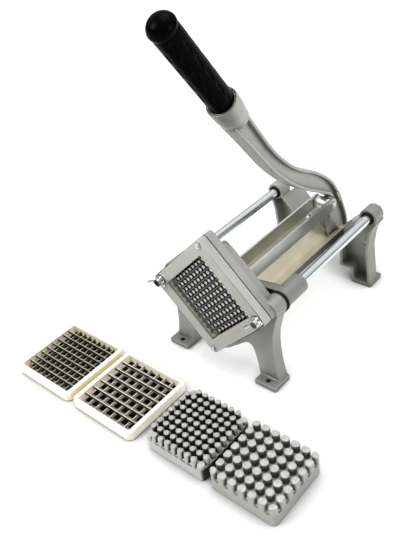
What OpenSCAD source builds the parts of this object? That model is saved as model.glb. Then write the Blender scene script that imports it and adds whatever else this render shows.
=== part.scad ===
// French fry cutter: a bench press that pushes a potato through a square grid of blades.
// Frame: X to the right seen from the front, Y to the rear, Z up.
// The origin is on the floor, midway between the two front foot holes.
// The lever stands at rest, fully forward, with the push block home in the blades.

/* [Blade grid] */
// Inside width of every blade frame, seven half-inch cells
frame_in = 88.9; // [70:0.1:110]
// Side of a blade frame's moulded wall
frame_wall = 6; // [4:0.1:9]
// Depth of a blade frame
frame_h = 13; // [10:0.1:18]
// Flat on a blade frame's corner
frame_corner = 7; // [3:0.1:10]
// How far a blade layer lies below the frame's rim
blade_drop = 2; // [1:0.1:4]
// Depth of one blade
blade_h = 4.6; // [3:0.1:6]
// Thickness of a blade
blade_t = 0.9; // [0.6:0.05:1.2]
// Pitch of the fine grid in the machine
fine_pitch = 8; // [7:0.1:9]
// Pitch of the medium grid
medium_pitch = 9.525; // [9:0.005:10]
// Pitch of the large grid
large_pitch = 12.7; // [12:0.1:14]

/* [Push blocks] */
// Depth of a block's body
block_h = 16; // [12:0.1:22]
// Length of the pins above the body
pin_l = 11; // [8:0.1:14]
// How far the pins stop behind the blades' front edges at rest
pin_stop = 3.4; // [1:0.1:5]
// Pin radius of the fine block
fine_pin_r = 2.6; // [2:0.05:3]
// Pin radius of the medium block
medium_pin_r = 3.3; // [2.5:0.05:3.8]
// Pin radius of the large block
large_pin_r = 4.7; // [3.5:0.05:5.4]
// Half width of a block's body
block_half = 41.6; // [35:0.1:43]
// Corner radius of a block's body
block_r = 6; // [3:0.1:12]
// Rim round the relief in a block's underside
block_wall = 4; // [3:0.1:6]
// Depth of that relief
block_relief = 3; // [1:0.5:4]

/* [Front casting] */
// Side of the square front plate, set on its corner
plate_side = 120; // [110:0.5:140]
// Thickness of the front plate
plate_t = 12; // [8:0.5:16]
// Corner radius of the front plate
plate_r = 5; // [2:0.5:10]
// Side of the plate's square window
window = 88; // [70:0.5:88]
// Depth of the pocket in the plate's back that seats the blade frame
pocket_d = 9.2; // [6:0.1:10]
// Height of the grid's centre above the floor
grid_z = 111; // [100:0.5:130]
// Y of the plate's front face
plate_y = -15; // [-20:0.5:-10]
// Thickness of the casting's diamond
diamond_t = 12; // [10:0.5:16]
// Side of the collar behind the diamond
collar_side = 104.7; // [100:0.1:112]
// Depth of the collar
collar_t = 14; // [8:0.5:20]
// Height at which the collar's top corner is cut flat, above the grid's centre
collar_top = 59; // [50:0.5:70]
// Round seat in the plate's side corners for a wing nut
nut_seat_r = 8; // [7:0.1:10]
// Depth of that seat
nut_seat_d = 2; // [1:0.1:4]
// Radius of the corner screws' heads
corner_head_r = 3.5; // [2.5:0.1:5]
// Corner screw to grid centre
corner_reach = 76; // [70:0.5:80]

/* [Guide rods] */
// Radius of the guide rods
rod_r = 6.35; // [5:0.05:8]
// Rod to machine centre plane
rod_x = 73; // [68:0.5:80]
// Radius of a rod's threaded end
rod_end_r = 4; // [3:0.1:5]
// Turn of the left wing nut at rest
left_nut_turn = -12; // [-90:1:90]
// Turn of the right wing nut at rest
right_nut_turn = -35; // [-90:1:90]
// Radius of the front casting's rod bosses
boss_r = 12.3; // [10:0.1:16]
// Y where the rod bosses begin
boss_y = 5; // [0:0.5:10]
// Length of the rod bosses
boss_l = 20.5; // [15:0.5:32]

/* [Front legs] */
// Depth of the front legs
leg_depth = 17; // [12:0.5:24]
// Half spread of the front feet over their outer edges
foot_x = 85; // [76:0.5:90]
// Foot hole to machine centre plane
hole_x = 69; // [62:0.5:76]
// Radius of the foot holes
hole_r = 3.3; // [2.5:0.1:5]
// Thickness of a foot flange
foot_t = 6; // [4:0.5:10]
// Foot flange ahead of its hole
foot_nose = 8; // [6:0.5:14]
// Inner edge of a foot, from the machine's centre plane
foot_in = 54; // [46:0.5:58]
// Wall of the hollow castings
cast_wall = 4; // [3:0.1:6]

/* [Rear legs] */
// Rear legs' front rim ahead of the axle
rear_ahead = 39; // [30:0.5:50]
// Depth of the rear legs' open shell
rear_depth = 20; // [16:0.5:32]
// Wall at the back of the shell
rear_wall = 3; // [2:0.1:6]
// Radius of the top boss round the rod
rear_boss_r = 12.5; // [11:0.5:16]
// Rear foot hole behind the shell's back
rear_hole_back = 5; // [4:0.5:14]
// Rear foot flange behind its hole
rear_foot_back = 5; // [4:0.5:10]
// Rear edge of the trough's seat behind the axle
seat_past = 5; // [0:0.5:12]
// Inner face of the axle lugs, from the centre plane
lug_x = 31; // [26:0.5:36]
// Outer face of the axle lugs
step_x = 48.5; // [42:0.5:54]
// Radius of the axle lugs
lug_r = 12; // [10:0.5:14]
// Inner edge of a rear foot
rear_foot_in = 51; // [46:0.5:60]

/* [Trough] */
// Half width of the trough
trough_half = 36; // [28:0.5:44]
// Sheet thickness
sheet = 1.4; // [0.8:0.1:2]
// Trough's rear edge ahead of the axle
trough_ahead = 15; // [10:0.5:24]
// Length of the narrow tongue at the trough's rear
tongue_l = 17; // [10:0.5:30]
// Half width of that tongue
tongue_half = 31; // [20:0.5:34]
// Trough screw to machine centre plane
trough_screw_x = 26; // [18:0.5:30]
// Trough screw ahead of the trough's rear edge
trough_screw_back = 9.5; // [5:0.5:12]

/* [Carriage] */
// Thickness of the pusher plate
pusher_t = 10; // [6:0.5:16]
// Outer radius of the sleeves
sleeve_r = 12.2; // [10:0.1:15]
// Length of the sleeves
sleeve_l = 38.5; // [28:0.5:50]
// Gap between front boss and sleeve
sleeve_gap = 3.5; // [2:0.5:12]
// Thickness of the arms
arm_t = 11; // [6:0.5:16]
// Height of the arm at the sleeve
arm_h = 26; // [18:0.5:34]
// Bush wall
bush_t = 1.5; // [1:0.1:3]
// Link pin behind the pusher plate's back
pin_back = 14.4; // [10:0.1:24]
// Thickness of the ears that hold the link pin
ear_t = 5; // [3:0.1:8]
// Radius of the ears
ear_r = 7.5; // [6:0.1:12]

/* [Link bars] */
// Outer face of the link bars, from the centre plane
bar_x = 14.3; // [12:0.1:18]
// Thickness of the link bars
bar_t = 3; // [2:0.1:5]
// Height of the link bars
bar_h = 19; // [14:0.5:24]
// Length of the link bars between pin and bolt
bar_l = 192; // [170:0.5:210]
// Radius of pin and bolt
pin_r = 3.2; // [2.5:0.1:5]
// Radius of the bolt heads
head_r = 4.4; // [4:0.1:8]
// Radius of the spacer tube between the bars
tube_r = 8; // [6:0.1:10]

/* [Lever] */
// Height of the lever's axle
axle_z = 33; // [28:0.5:40]
// Radius of the axle
axle_r = 6; // [4:0.1:8]
// Height of the link bolt above the floor
bolt_z = 108.5; // [100:0.5:120]
// Link bolt ahead of the axle
bolt_ahead = 28; // [20:0.5:36]
// Height of the socket's foot above the axle
lever_rise = 273; // [230:1:320]
// Socket's foot ahead of the axle
lever_reach = 200.5; // [170:0.5:240]
// Width of the lever's flanges
flange_w = 20; // [16:0.5:28]
// Thickness of the flanges
flange_t = 4; // [3:0.1:6]
// Thickness of the web
web_t = 7; // [4:0.5:10]
// Radius of the lever's round foot
hub_r = 20; // [16:0.5:24]
// Radius of the hub tube round the axle
hub_tube_r = 11.5; // [9:0.5:13]
// Half length of the hub tube
hub_half = 29.5; // [20:0.5:30]
// Radius of the grip socket
socket_r = 16; // [13:0.5:20]
// Length of the grip socket
socket_l = 34; // [25:1:50]
// Lean of the grip from upright
grip_lean = 35.5; // [25:0.5:45]
// Length of the grip outside its socket
grip_l = 130; // [90:1:150]
// Radius of the grip
grip_r = 13.5; // [11:0.5:16]
// Radius of the grip's bulb end
bulb_r = 15.2; // [12:0.5:18]

/* [Set on the floor] */
// Centre of the medium frame
medium_frame_x = -167; // [-200:0.5:-150]
// Centre of the large frame
large_frame_x = -58; // [-90:0.5:-40]
// Y of both frames' centres
frames_y = -111; // [-130:0.5:-90]
// Centre of the medium push block
medium_block_x = 54; // [40:0.5:70]
// Centre of the large push block
large_block_x = 146; // [130:0.5:170]
// Y of both blocks' centres
blocks_y = -112.5; // [-130:0.5:-90]

/* [Clearances] */
// Running clearance of shafts and hinges, on the radius
run = 0.06; // [0.02:0.01:0.1]
// Gap between pieces that move past each other
side_gap = 0.8; // [0.4:0.1:1.5]
// Fit of a frame in its recess
frame_fit = 0.4; // [0.2:0.1:1]

/* [Hidden] */
// How far a cut runs past the face it opens
over = 0.5;
// Smoothness of round forms
$fn = 64;
// Rounding of cast outlines
cast_r = 2.5;
// Corner screws' shanks, heads of the small screws and their countersunk seats
screw_r = 2;
screw_head_h = 2.4;
// Outer edge of a rear leg, as shares of the rod's distance and the grid's height
rear_edge_shares = [[1.18, 0.95], [1.09, 0.84], [1.05, 0.74], [1.015, 0.54], [1.03, 0.42],
    [1.06, 0.2], [1.065, 0.09], [1.096, 0.055], [1.096, 0]];
// Outer edge of a front leg, as shares of the rod's distance and the grid's height
front_edge_shares = [[1.17, 0.98], [1.12, 0.865], [1.05, 0.68], [1.033, 0.56], [1.035, 0.45],
    [1.05, 0.3], [1.085, 0.15], [1.12, 0.06], [1.16, 0.05], [1.16, 0]];
// Arch between the front legs, as shares of the rod's distance and the grid's height
arch_shares = [[0.73, 0], [0.735, 0.055], [0.70, 0.2], [0.66, 0.33], [0.63, 0.39], [0.59, 0.425],
    [0.54, 0.435], [0.48, 0.42], [0.07, 0.2], [0, 0.18]];
// Lever's front edge, as shares of its reach and its rise from the axle
lever_front_shares = [[1.051, 0.96], [0.942, 0.861], [0.825, 0.749], [0.723, 0.657],
    [0.573, 0.548], [0.428, 0.463], [0.248, 0.38], [0.104, 0.303], [0.092, 0.2], [0.094, 0.08],
    [0.07, 0.02]];
// Lever's rear edge, as shares of its reach and its rise from the axle
lever_rear_shares = [[0.93, 0.995], [0.839, 0.896], [0.716, 0.767], [0.577, 0.658],
    [0.443, 0.581], [0.276, 0.507], [0.11, 0.404], [0.009, 0.293], [-0.072, 0.16],
    [-0.1, 0.075], [-0.0998, 0.01]];

frame_out = frame_in + 2 * frame_wall;
plate_back = plate_y + plate_t;
diamond_back = plate_back + diamond_t;
collar_back = diamond_back + collar_t;
recess_y = plate_back - pocket_d;
recess_side = frame_out + 2 * frame_fit;
frame_y = recess_y + frame_fit;
front_blade_y = frame_y + blade_drop;
pin_tip_y = front_blade_y + pin_stop;
block_y = pin_tip_y + pin_l;
pusher_y = block_y + block_h;
arm_y = pusher_y + pusher_t;
boss_back = boss_y + boss_l;
sleeve_y = boss_back + sleeve_gap;
arm_back = sleeve_y + arm_t;
nut_y = plate_y + nut_seat_d;
pin_y = arm_y + pin_back;
bolt_y = pin_y + bar_l;
axle_y = bolt_y + bolt_ahead;
rear_y = axle_y - rear_ahead;
rod_rear = rear_y + rear_depth;
web_y = rod_rear - rear_wall;
seat_y = axle_y + seat_past;
trough_rear = axle_y - trough_ahead;
bar_in = bar_x - bar_t;
ear_in = bar_x + side_gap;
ear_out = ear_in + ear_t;
rod_hole = rod_r + run;
plane_z = grid_z - window * sqrt(1 / 2);
seat_z = plane_z - sheet * sqrt(2);
socket_y = axle_y - lever_reach;
socket_z = axle_z + lever_rise;
rear_hole_y = rod_rear + rear_hole_back;
rebate = 6;
nut_h = 6;
nut_r = 7;
washer_t = 1.2;
washer_r = 8.5;
wing_span = 15;
wing_t = 2.2;
wing_h = 9;
slit = 4.4;

// Shared shapes

// Extrudes an outline drawn in X and Z from y0 to y1
module along_y(y0, y1) {
    translate([0, y1, 0])
        rotate([90, 0, 0])
            linear_extrude(height = y1 - y0)
                children();
}

// Extrudes an outline drawn in Y and Z from x0 to x1
module along_x(x0, x1) {
    translate([x0, 0, 0])
        rotate([90, 0, 90])
            linear_extrude(height = x1 - x0)
                children();
}

// Round bar along Y through a point of X and Z
module rod_y(x, z, r, y0, y1) {
    translate([x, y1, z])
        rotate([90, 0, 0])
            cylinder(r = r, h = y1 - y0);
}

// Round bar along X through a point of Y and Z
module rod_x_bar(y, z, r, x0, x1) {
    translate([x0, y, z])
        rotate([0, 90, 0])
            cylinder(r = r, h = x1 - x0);
}

// Square set on its corner about the grid's centre
module diamond(side, r) {
    translate([0, grid_z])
        rotate(45)
            offset(r = r)
                square(side - 2 * r, center = true);
}

// Square with flats on its corners
module flat_square(side, flat) {
    reach = side / 2;
    cut = reach - flat * sqrt(1 / 2);
    polygon([[reach, cut], [cut, reach], [-cut, reach], [-reach, cut],
        [-reach, -cut], [-cut, -reach], [cut, -reach], [reach, -cut]]);
}

// Places a floor piece in the machine: its upper side faces the front, its base lies at y
module in_machine(y) {
    translate([0, y, grid_z])
        rotate([90, 0, 0])
            rotate([0, 0, 45])
                children();
}

// The same piece on both sides
module both_sides() {
    children();
    mirror([1, 0, 0])
        children();
}

function smooth_point(a, b, c, d, t) =
    ((2 * b) + (c - a) * t + (2 * a - 5 * b + 4 * c - d) * t * t
    + (3 * b - a - 3 * c + d) * t * t * t) / 2;

function smooth_path(p, steps) = concat(
    [for (i = [0 : len(p) - 2])
        for (k = [0 : steps - 1])
            smooth_point(p[max(i - 1, 0)], p[i], p[i + 1], p[min(i + 2, len(p) - 1)], k / steps)],
    [p[len(p) - 1]]);

function reversed(p) = [for (i = [len(p) - 1 : -1 : 0]) p[i]];

// Blade frames and push blocks, drawn lying on the floor

module frame_ring(pitch, count) {
    difference() {
        linear_extrude(height = frame_h)
            difference() {
                flat_square(frame_out, frame_corner);
                square(frame_in, center = true);
            }
        blade_row(pitch, count, frame_h - blade_drop - blade_h);
        rotate([0, 0, 90])
            blade_row(pitch, count, frame_h - blade_drop - 2 * blade_h);
    }
}

module blade_row(pitch, count, z) {
    for (i = [0 : count - 1])
        translate([0, (i - (count - 1) / 2) * pitch, z + blade_h / 2])
            cube([frame_in + frame_wall, blade_t, blade_h], center = true);
}

module blades_upper(pitch, count) {
    blade_row(pitch, count, frame_h - blade_drop - blade_h);
}

module blades_lower(pitch, count) {
    rotate([0, 0, 90])
        blade_row(pitch, count, frame_h - blade_drop - 2 * blade_h);
}

module block_outline() {
    offset(r = block_r)
        square(2 * (block_half - block_r), center = true);
}

// The four screws that hold a block to the carriage
module block_screw_places() {
    for (a = [0 : 90 : 270])
        rotate(a)
            translate([block_half * 0.8 * sqrt(1 / 2), block_half * 0.8 * sqrt(1 / 2)])
                children();
}

module push_block(pitch, count, r, corner_posts) {
    last = (count - 1) / 2;
    post_r = r * 1.3;
    post_reach = block_half - post_r - side_gap;
    difference() {
        linear_extrude(height = block_h)
            block_outline();
        translate([0, 0, -over])
            linear_extrude(height = block_relief + over)
                difference() {
                    square(2 * (block_half - block_wall), center = true);
                    square([2 * block_half, block_wall], center = true);
                    square([block_wall, 2 * block_half], center = true);
                    block_screw_places()
                        circle(r = screw_r + block_wall);
                }
        block_screw_places()
            translate([0, 0, -over])
                cylinder(r = screw_r, h = block_h / 2 + 2 * over);
    }
    intersection() {
        for (i = [0 : count - 1])
            for (j = [0 : count - 1])
                if (!corner_posts || abs(i - last) < last || abs(j - last) < last)
                    translate([(i - last) * pitch, (j - last) * pitch, block_h - block_wall / 2])
                        cylinder(r = r, h = pin_l + block_wall / 2);
        linear_extrude(height = block_h + pin_l)
            block_outline();
    }
    if (corner_posts)
        for (a = [0 : 90 : 270])
            rotate(a)
                translate([post_reach, post_reach, block_h - block_wall / 2])
                    cylinder(r = post_r, h = pin_l / 2 + block_wall / 2);
}

// Front casting and plate

module front_leg_outline() {
    polygon(concat(
        [for (p = front_edge_shares) [p[0] * rod_x, p[1] * grid_z]],
        [for (p = arch_shares) [p[0] * rod_x, p[1] * grid_z]],
        [[0, grid_z - window / 2], [rod_x, grid_z + boss_r / 2]]));
}

module front_casting() {
    color([0.68, 0.68, 0.65])
        difference() {
            union() {
                along_y(plate_back, diamond_back)
                    diamond(plate_side, plate_r);
                along_y(diamond_back - over, collar_back)
                    intersection() {
                        diamond(collar_side, cast_r);
                        translate([0, grid_z + collar_top - collar_side])
                            square(2 * collar_side, center = true);
                    }
                both_sides() {
                    rod_y(rod_x, grid_z, boss_r, boss_y, boss_back);
                    along_y(boss_y, boss_y + leg_depth)
                        front_leg_outline();
                    translate([foot_in, -foot_nose, 0])
                        cube([foot_x - foot_in, foot_nose + boss_y + leg_depth, foot_t]);
                }
            }
            along_y(plate_back - over, boss_back + over)
                diamond(window, over);
            along_y(plate_back - over, frame_y + frame_h + frame_fit / 2)
                translate([0, grid_z])
                    rotate(45)
                        flat_square(recess_side, frame_corner);
            trough_rebate();
            both_sides() {
                rod_y(rod_x, grid_z, rod_end_r + run, plate_back - over, diamond_back + over);
                rod_y(rod_x, grid_z, rod_hole, diamond_back, boss_back + over);
                translate([hole_x, 0, -over])
                    cylinder(r = hole_r, h = foot_t + 2 * over);
                leg_pocket();
            }
            for (z = [-corner_reach, corner_reach])
                rod_y(0, grid_z + z, screw_r, plate_back - over, diamond_back + over);
        }
}

// Hollow at the back of a front leg
module leg_pocket() {
    along_y(boss_y + leg_depth / 2, boss_y + leg_depth + over)
        difference() {
            offset(delta = -cast_wall)
                front_leg_outline();
            diamond(collar_side + 2 * cast_wall, cast_r);
            translate([rod_x, grid_z])
                circle(r = boss_r + cast_wall);
            translate([0, foot_t - 2 * foot_t])
                square([2 * foot_x, 2 * foot_t]);
        }
}

// Slot in the collar's lower sides that takes the trough's front end
module trough_rebate() {
    along_y(collar_back - rebate, collar_back + over)
        trough_profile(trough_half + frame_fit, sheet + frame_fit / 2);
}

module front_plate() {
    color([0.72, 0.72, 0.68])
        difference() {
            along_y(plate_y, plate_back)
                diamond(plate_side, plate_r);
            along_y(plate_y - over, plate_back)
                diamond(window, over);
            along_y(recess_y, plate_back + over)
                translate([0, grid_z])
                    rotate(45)
                        flat_square(recess_side, frame_corner);
            for (x = [-rod_x, rod_x]) {
                rod_y(x, grid_z, rod_end_r + run, plate_y - over, plate_back + over);
                rod_y(x, grid_z, nut_seat_r, plate_y - over, plate_y + nut_seat_d);
            }
            for (z = [-corner_reach, corner_reach])
                rod_y(0, grid_z + z, screw_r, plate_y - over, plate_back + over);
        }
}

module plate_screws() {
    color([0.85, 0.85, 0.85])
        for (z = [-corner_reach, corner_reach])
            difference() {
                union() {
                    rod_y(0, grid_z + z, screw_r, plate_y - screw_head_h / 2,
                        diamond_back - over);
                    rod_y(0, grid_z + z, corner_head_r, plate_y - screw_head_h / 2, plate_y);
                    rod_y(0, grid_z + z, corner_head_r - over, plate_y - screw_head_h, plate_y);
                }
                translate([0, plate_y - screw_head_h, grid_z + z])
                    cube([2 * corner_head_r, screw_head_h, over + over / 2], center = true);
            }
}

module fine_frame() {
    color([0.93, 0.91, 0.84])
        in_machine(frame_y + frame_h)
            frame_ring(fine_pitch, 10);
}

module fine_blades_front() {
    color([0.6, 0.6, 0.58])
        in_machine(frame_y + frame_h)
            blades_upper(fine_pitch, 10);
}

module fine_blades_rear() {
    color([0.6, 0.6, 0.58])
        in_machine(frame_y + frame_h)
            blades_lower(fine_pitch, 10);
}

// Guide rods

module guide_rod(x) {
    color([0.82, 0.85, 0.88]) {
        rod_y(x, grid_z, rod_r, diamond_back, web_y);
        rod_y(x, grid_z, rod_end_r, nut_y - wing_h - over, diamond_back + over);
        rod_y(x, grid_z, rod_end_r, web_y - over, rod_rear + washer_t + nut_h + over);
    }
}

module guide_rod_left() {
    guide_rod(-rod_x);
}

module guide_rod_right() {
    guide_rod(rod_x);
}

module rod_rear_nuts() {
    color([0.8, 0.8, 0.8])
        for (x = [-rod_x, rod_x])
            difference() {
                union() {
                    rod_y(x, grid_z, washer_r, rod_rear, rod_rear + washer_t);
                    translate([x, rod_rear + washer_t + nut_h, grid_z])
                        rotate([90, 0, 0])
                            cylinder(r = nut_r, h = nut_h + over, $fn = 6);
                }
                rod_y(x, grid_z, rod_end_r, rod_rear - over, rod_rear + washer_t + nut_h + over);
            }
}

module wing_nut(x, turn) {
    nut_face = nut_y - side_gap / 4;
    color([0.85, 0.85, 0.86])
        difference() {
            union() {
                rod_y(x, grid_z, nut_r, nut_face - washer_t * 2, nut_face);
                rod_y(x, grid_z, rod_end_r + washer_t, nut_face - wing_h, nut_face);
                translate([x, 0, grid_z])
                    rotate([0, turn, 0])
                        wings(nut_face);
            }
            rod_y(x, grid_z, rod_end_r + run, nut_face - wing_h - over, nut_face + over);
        }
}

// Two flat wings that lean outward from the nut
module wings(y) {
    translate([0, y, -wing_t / 2])
        linear_extrude(height = wing_t)
            for (side = [-1, 1])
                hull() {
                    translate([side * rod_end_r, -washer_t * 2])
                        circle(r = washer_t);
                    translate([side * rod_end_r, -wing_h / 2])
                        circle(r = washer_t);
                    translate([side * (wing_span - wing_t), -wing_h])
                        circle(r = wing_t * 1.2);
                }
}

module wing_nut_left() {
    wing_nut(-rod_x, left_nut_turn);
}

module wing_nut_right() {
    wing_nut(rod_x, right_nut_turn);
}

// Rear legs, axle and trough

module rear_leg_outline() {
    polygon(concat(
        [[slit, seat_z + slit], [rod_x - boss_r, seat_z + rod_x - boss_r], [rod_x, grid_z]],
        [for (p = rear_edge_shares) [p[0] * rod_x, p[1] * grid_z]],
        [[rear_foot_in, 0], [step_x, axle_z - lug_r], [lug_x, axle_z - lug_r],
            [lug_x, axle_z + lug_r], [slit, axle_z + lug_r + cast_wall / 2]]));
}

module rear_leg_right() {
    color([0.66, 0.66, 0.63])
        difference() {
            union() {
                difference() {
                    union() {
                        along_y(rear_y, rod_rear)
                            rear_leg_outline();
                        rod_y(rod_x, grid_z, rear_boss_r, rear_y, rod_rear);
                    }
                    along_y(rear_y - over, web_y)
                        offset(delta = -cast_wall)
                            union() {
                                rear_leg_outline();
                                translate([rod_x, grid_z])
                                    circle(r = rear_boss_r);
                            }
                }
                rod_y(rod_x, grid_z, rod_r + cast_wall, rear_y, rod_rear);
                along_y(rear_y, seat_y)
                    polygon([[slit, seat_z + slit], [rod_x - boss_r, seat_z + rod_x - boss_r],
                        [rod_x - boss_r, seat_z + rod_x - boss_r - cast_wall * sqrt(2)],
                        [slit, seat_z + slit - cast_wall * sqrt(2)]]);
                rod_x_bar(axle_y, axle_z, lug_r, lug_x, step_x);
                along_x(lug_x, lug_x + cast_wall)
                    polygon([[rod_rear - over, axle_z - lug_r], [axle_y, axle_z - lug_r],
                        [axle_y + lug_r, axle_z], [seat_y, seat_z + lug_x - over],
                        [rod_rear - over, seat_z + lug_x - over]]);
                along_x(lug_x, step_x)
                    polygon([[rod_rear - over, axle_z - lug_r], [axle_y, axle_z - lug_r],
                        [axle_y, axle_z + lug_r], [rod_rear - over, axle_z + lug_r]]);
                translate([rear_foot_in, rear_y, 0])
                    cube([rear_edge_shares[8][0] * rod_x - rear_foot_in,
                        rear_hole_y + rear_foot_back - rear_y, foot_t]);
            }
            rod_y(rod_x, grid_z, rod_hole, rear_y - over, web_y);
            rod_y(rod_x, grid_z, rod_end_r + run, web_y - over, rod_rear + over);
            rod_x_bar(axle_y, axle_z, axle_r + run, lug_x - over, step_x + over);
            translate([hole_x, rear_hole_y, -over])
                cylinder(r = hole_r, h = foot_t + 2 * over);
            rod_y(rod_x * 0.85, axle_z + lug_r * 2, screw_r + over, web_y - over,
                rod_rear + over);
            trough_bolt_place() {
                cylinder(r = screw_r + run, h = 6 * cast_wall, center = true);
                translate([0, 0, -sheet - cast_wall - screw_head_h - over])
                    cylinder(r = corner_head_r * 1.1 + frame_fit, h = screw_head_h + over);
            }
        }
}

module rear_leg_left() {
    mirror([1, 0, 0])
        rear_leg_right();
}

module lever_axle() {
    color([0.7, 0.7, 0.72]) {
        rod_x_bar(axle_y, axle_z, axle_r, -step_x - over, step_x + washer_t + nut_h + over);
        rod_x_bar(axle_y, axle_z, axle_r * 1.5, -step_x - nut_h, -step_x);
    }
}

module axle_nuts() {
    color([0.8, 0.8, 0.8]) {
        difference() {
            union() {
                rod_x_bar(axle_y, axle_z, axle_r * 1.7, step_x, step_x + washer_t);
                translate([step_x + washer_t - over, axle_y, axle_z])
                    rotate([0, 90, 0])
                        cylinder(r = axle_r * 1.6, h = nut_h + over, $fn = 6);
            }
            rod_x_bar(axle_y, axle_z, axle_r, step_x - over, step_x + washer_t + nut_h + over);
        }
        for (x = [-lug_x, lug_x - washer_t])
            difference() {
                rod_x_bar(axle_y, axle_z, hub_tube_r, x, x + washer_t);
                rod_x_bar(axle_y, axle_z, axle_r, x - over, x + washer_t + over);
            }
    }
}

// Bent sheet, drawn in X and Z, its inner bend at plane_z
module trough_profile(half, t) {
    low = plane_z - t * sqrt(2);
    polygon([[0, plane_z], [half, plane_z + half], [half + t * sqrt(1 / 2), plane_z + half
        - t * sqrt(1 / 2)], [0, low], [-half - t * sqrt(1 / 2), plane_z + half
        - t * sqrt(1 / 2)], [-half, plane_z + half]]);
}

module trough() {
    color([0.66, 0.63, 0.55])
        difference() {
            along_y(collar_back - rebate + frame_fit, trough_rear)
                trough_profile(trough_half, sheet);
            both_sides() {
                translate([tongue_half, trough_rear - tongue_l, 0])
                    cube([2 * trough_half, 2 * tongue_l, 2 * grid_z]);
                trough_bolt_place()
                    cylinder(r = screw_r + run, h = 4 * cast_wall, center = true);
            }
            translate([0, axle_y - hub_r + web_t * 0.8 - side_gap, 0])
                linear_extrude(height = 2 * grid_z)
                    hull() {
                        circle(r = web_t * 0.8);
                        translate([0, hub_r])
                            circle(r = web_t * 0.8);
                    }
        }
}

// Axis of the right trough screw, square to the trough's wing
module trough_bolt_place() {
    translate([trough_screw_x, trough_rear - trough_screw_back, plane_z + trough_screw_x])
        rotate([0, -45, 0])
            children();
}

module trough_screws() {
    color([0.88, 0.88, 0.88])
        both_sides()
            trough_bolt_place() {
                translate([0, 0, -2 * cast_wall - sheet])
                    cylinder(r = screw_r, h = 2 * cast_wall + sheet + over);
                cylinder(r = corner_head_r, h = screw_head_h);
            }
}

module trough_nuts() {
    color([0.85, 0.85, 0.85])
        both_sides()
            trough_bolt_place()
                difference() {
                    translate([0, 0, -sheet - cast_wall - screw_head_h])
                        cylinder(r = corner_head_r * 1.1, h = screw_head_h, $fn = 6);
                    cylinder(r = screw_r, h = 8 * cast_wall, center = true);
                }
}

// Carriage and link

module arm_outline() {
    hull() {
        translate([rod_x, grid_z])
            circle(r = sleeve_r);
        translate([ear_in, grid_z - arm_h / 2])
            square([ear_t, arm_h * 0.75]);
    }
}

module carriage() {
    color([0.62, 0.62, 0.59])
        difference() {
            union() {
                along_y(pusher_y, arm_y)
                    diamond(2 * block_half, block_r);
                both_sides() {
                    along_y(sleeve_y, arm_back)
                        arm_outline();
                    rod_y(rod_x, grid_z, sleeve_r, sleeve_y, sleeve_y + sleeve_l);
                    along_x(ear_in, ear_out)
                        hull() {
                            translate([pin_y, bolt_z])
                                circle(r = ear_r);
                            translate([arm_y - over, bolt_z - ear_r])
                                square([over, 2 * ear_r]);
                        }
                }
            }
            both_sides() {
                rod_y(rod_x, grid_z, rod_hole + bush_t, sleeve_y - over,
                    sleeve_y + sleeve_l + over);
                rod_x_bar(pin_y, bolt_z, pin_r, ear_in - over, ear_out + over);
                rod_y(block_half * 0.8, grid_z, screw_r, pusher_y - over, arm_back + over);
            }
            for (z = [-0.8, 0.8])
                rod_y(0, grid_z + z * block_half, screw_r, pusher_y - over, arm_y + over);
        }
}

module sleeve_bushes() {
    color([0.72, 0.56, 0.3])
        for (x = [-rod_x, rod_x])
            difference() {
                rod_y(x, grid_z, rod_hole + bush_t, sleeve_y, sleeve_y + sleeve_l);
                rod_y(x, grid_z, rod_hole, sleeve_y - over, sleeve_y + sleeve_l + over);
            }
}

module fine_push_block() {
    color([0.6, 0.6, 0.57])
        in_machine(pusher_y)
            push_block(fine_pitch, 11, fine_pin_r, false);
}

module ear_bolts() {
    color([0.82, 0.82, 0.82])
        both_sides() {
            rod_x_bar(pin_y, bolt_z, pin_r, ear_in, ear_out + over);
            rod_x_bar(pin_y, bolt_z, head_r, ear_out, ear_out + bar_t);
        }
}

module block_screws() {
    color([0.8, 0.8, 0.8]) {
        for (x = [-0.8, 0.8])
            rod_y(x * block_half, grid_z, screw_r, pusher_y - block_h / 2, arm_back);
        for (z = [-0.8, 0.8])
            rod_y(0, grid_z + z * block_half, screw_r, pusher_y - block_h / 2, arm_y);
    }
}

module link_bar(x0) {
    color([0.75, 0.76, 0.77])
        difference() {
            along_x(x0, x0 + bar_t)
                hull() {
                    translate([pin_y, bolt_z])
                        circle(r = bar_h / 2);
                    translate([bolt_y, bolt_z])
                        circle(r = bar_h / 2);
                }
            rod_x_bar(pin_y, bolt_z, pin_r, x0 - over, x0 + bar_t + over);
            rod_x_bar(bolt_y, bolt_z, pin_r, x0 - over, x0 + bar_t + over);
        }
}

module link_bar_left() {
    link_bar(-bar_x);
}

module link_bar_right() {
    link_bar(bar_in);
}

module cross_pin() {
    color([0.8, 0.8, 0.8])
        rod_x_bar(pin_y, bolt_z, pin_r, -bar_x, bar_x);
}

module link_bolt() {
    color([0.8, 0.8, 0.8]) {
        rod_x_bar(bolt_y, bolt_z, pin_r, -bar_x - bar_t, bar_x + over);
        rod_x_bar(bolt_y, bolt_z, head_r, bar_x, bar_x + bar_t * 0.8);
    }
}

module link_nut() {
    color([0.8, 0.8, 0.8])
        difference() {
            translate([-bar_x - bar_t, bolt_y, bolt_z])
                rotate([0, 90, 0])
                    cylinder(r = head_r * 1.2, h = bar_t, $fn = 6);
            rod_x_bar(bolt_y, bolt_z, pin_r, -bar_x - bar_t - over, over - bar_x);
        }
}

module spacer_tube() {
    color([0.86, 0.86, 0.86])
        both_sides()
            difference() {
                rod_x_bar(bolt_y, bolt_z, tube_r, web_t / 2, bar_in - side_gap / 2);
                rod_x_bar(bolt_y, bolt_z, pin_r + run, 0, bar_in);
            }
}

// Lever and grip

function lever_points(shares) =
    [for (p = shares) [axle_y - p[0] * lever_reach, axle_z + p[1] * lever_rise]];

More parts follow.
